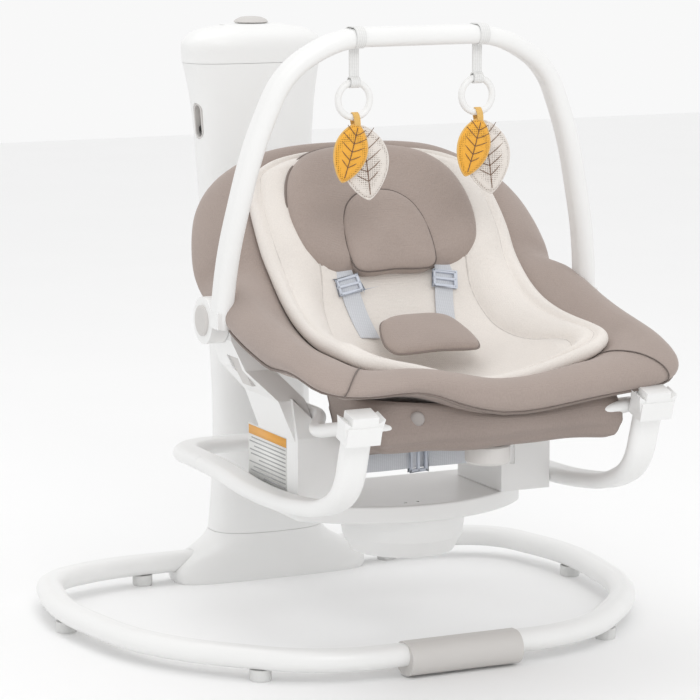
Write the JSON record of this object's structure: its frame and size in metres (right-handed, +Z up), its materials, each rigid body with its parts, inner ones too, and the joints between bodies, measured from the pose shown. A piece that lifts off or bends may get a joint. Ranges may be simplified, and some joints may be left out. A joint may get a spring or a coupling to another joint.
{
  "type": "baby swing",
  "caption": "Motor-driven baby swing: a padded rocker seat on a turntable, hung from a rear tower over an oval floor loop, with a toy bar.",
  "frame": {"origin": "centre of the bottom of the bounding box, on the floor", "axes": "+Z up, -Y the front where the feet of the baby point, +Y the tower, X sideways; -X is the baby's right-hand side seen from the front left"},
  "size_m": [0.7452, 0.7913, 0.7527],
  "materials": {
    "white_metal": "satin white powder coat",
    "grey_plastic": "fine matt grain",
    "rubber_feet": "pale grip rubber",
    "white_plastic": "soft sheen white",
    "bare_steel": "plated steel",
    "dark_plastic": "dark fine grain",
    "taupe_fabric": "brushed knit, taupe",
    "cream_fabric": "brushed knit, cream",
    "webbing": "flat woven webbing, pale grey",
    "buckle_plastic": "pale grey moulded",
    "leaf_fabric": "fine knit, yellow"
  },
  "bodies": {
    "base": {"base_tube_left": "white_metal", "base_tube_right": "white_metal", "tube_joint_sleeve": "bare_steel", "front_cover": "grey_plastic", "rubber_feet": "rubber_feet", "tower_front_shell": "white_plastic", "tower_rear_shell": "white_plastic", "shell_screws": "bare_steel", "tower_foot": "white_plastic", "tower_post": "bare_steel", "head_lid": "white_plastic", "side_port_cover": "grey_plastic", "power_jack": "dark_plastic", "drive_frame": "bare_steel", "axle_bearings": "bare_steel", "drive_motor": "bare_steel", "circuit_board": "dark_plastic"},
    "control_knob": {"control_knob": "grey_plastic"},
    "drive_wheel": {"drive_wheel": "dark_plastic"},
    "motor_worm": {"motor_worm": "bare_steel"},
    "swing": {"swing_axle": "bare_steel", "crank_lever": "bare_steel", "swing_arm": "white_metal", "drum_housing": "white_plastic", "drum_bottom_cover": "white_plastic"},
    "turntable": {"turntable_plate": "white_plastic", "turntable_spindle": "bare_steel"},
    "rocker": {"rocker_rail_left": "white_metal", "rocker_rail_right": "white_metal", "rear_bow": "white_metal", "front_sockets": "white_plastic", "bracket_left": "white_plastic", "bracket_right": "white_plastic", "pivot_pins": "bare_steel", "seat_frame": "white_metal", "retaining_strap": "webbing", "strap_buckle": "buckle_plastic", "seat_pad": "taupe_fabric", "seat_insert": "cream_fabric", "crotch_pad": "taupe_fabric", "seat_sling": "taupe_fabric", "vibration_unit": "grey_plastic"},
    "vibration_button": {"vibration_button": "dark_plastic"},
    "release_left": {"release_button_left": "grey_plastic"},
    "release_right": {"release_button_right": "grey_plastic"},
    "backrest": {"back_pad": "taupe_fabric", "back_insert": "cream_fabric", "head_pillow": "taupe_fabric", "back_frame": "white_metal", "recline_housing": "white_plastic", "shoulder_straps": "webbing", "strap_sliders": "buckle_plastic"},
    "recline_handle": {"recline_handle": "grey_plastic"},
    "toy_bar": {"toy_bar": "white_plastic", "hub_caps": "grey_plastic", "toy_straps": "webbing"},
    "toy_left": {"toy_ring_left": "white_plastic", "toy_leaves_left": "leaf_fabric"},
    "toy_right": {"toy_ring_right": "white_plastic", "toy_leaves_right": "leaf_fabric"}
  },
  "joints": [
    {"name": "swing_rock", "type": "hinge", "parent": "base", "child": "swing", "pos_m": [0, 0.3, 0.53], "axis": [0, 1, 0], "range_deg": [-10, 10]},
    {"name": "seat_turn", "type": "hinge", "parent": "swing", "child": "turntable", "pos_m": [0, -0.101, 0.17], "axis": [0, 0, 1], "range_deg": [-90, 90]},
    {"name": "rocker_lift", "type": "slide", "parent": "turntable", "child": "rocker", "axis": [0, 0, 1], "range_m": [0, 0.12]},
    {"name": "back_recline", "type": "hinge", "parent": "rocker", "child": "backrest", "pos_m": [0, -0.083, 0.41], "axis": [1, 0, 0], "range_deg": [-20, 0]},
    {"name": "toy_bar_tilt", "type": "hinge", "parent": "rocker", "child": "toy_bar", "pos_m": [0, -0.083, 0.41], "axis": [1, 0, 0], "range_deg": [-35, 0]},
    {"name": "toy_left_hang", "type": "hinge", "parent": "toy_bar", "child": "toy_left", "pos_m": [-0.081, -0.13465, 0.6875], "axis": [1, 0, 0], "range_deg": [-25, 25]},
    {"name": "toy_right_hang", "type": "hinge", "parent": "toy_bar", "child": "toy_right", "pos_m": [0.081, -0.13465, 0.6875], "axis": [1, 0, 0], "range_deg": [-25, 25]},
    {"name": "release_left_press", "type": "slide", "parent": "rocker", "child": "release_left", "axis": [1, 0, 0], "range_m": [0, 0.003], "stiffness_N_per_m": 400},
    {"name": "release_right_press", "type": "slide", "parent": "rocker", "child": "release_right", "axis": [-1, 0, 0], "range_m": [0, 0.003], "stiffness_N_per_m": 400},
    {"name": "vibration_press", "type": "slide", "parent": "rocker", "child": "vibration_button", "axis": [0, 0, 1], "range_m": [0, 0.002], "stiffness_N_per_m": 400},
    {"name": "recline_squeeze", "type": "slide", "parent": "backrest", "child": "recline_handle", "axis": [0, -0.829, 0.5592], "range_m": [0, 0.005], "stiffness_N_per_m": 400},
    {"name": "knob_turn", "type": "hinge", "parent": "base", "child": "control_knob", "pos_m": [0.005, 0.362, 0.727], "axis": [0, 0, 1], "range_deg": [0, 270]},
    {"name": "wheel_spin", "type": "hinge", "parent": "base", "child": "drive_wheel", "pos_m": [0, 0.327, 0.6], "axis": [0, 1, 0], "continuous": true},
    {"name": "worm_spin", "type": "hinge", "parent": "base", "child": "motor_worm", "pos_m": [0, 0.327, 0.6274], "axis": [1, 0, 0], "continuous": true}
  ],
  "couplings": [
    {"joint": "wheel_spin", "follows": "worm_spin", "ratio": 0.033333}
  ]
}
